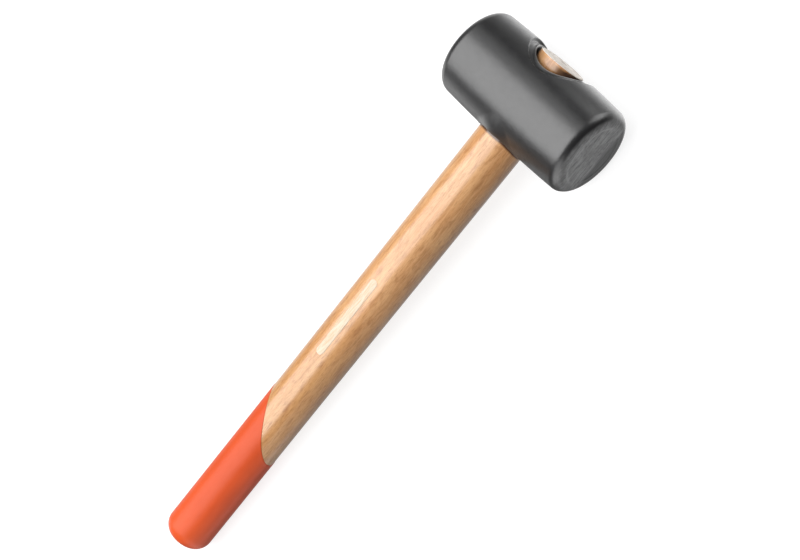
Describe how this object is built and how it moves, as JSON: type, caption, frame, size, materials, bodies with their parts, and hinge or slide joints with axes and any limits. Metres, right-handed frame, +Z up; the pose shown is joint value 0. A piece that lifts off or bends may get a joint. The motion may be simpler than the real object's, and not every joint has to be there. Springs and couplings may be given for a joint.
{
  "type": "rubber mallet",
  "caption": "Mallet with a crowned black rubber barrel on a turned wooden handle; the grip ends in a slanting orange lacquer dip.",
  "frame": {"origin": "on the floor, in the middle of the footprint of the mallet as it lies on its side", "axes": "+Z up from the floor, +Y from the butt of the handle to the head, +X along the barrel from one striking face to the other"},
  "size_m": [0.103, 0.3826, 0.06],
  "materials": {
    "head_rubber": "moulded black rubber with a satin sheen",
    "handle_wood": "turned beech under thin clear varnish",
    "dip_lacquer": "dipped orange lacquer, semi-gloss",
    "bar_ink": "pale pad-printed ink"
  },
  "bodies": {
    "root": {"rubber_head": "head_rubber", "handle": "handle_wood", "dip_coat": "dip_lacquer", "printed_bar": "bar_ink"}
  },
  "joints": []
}
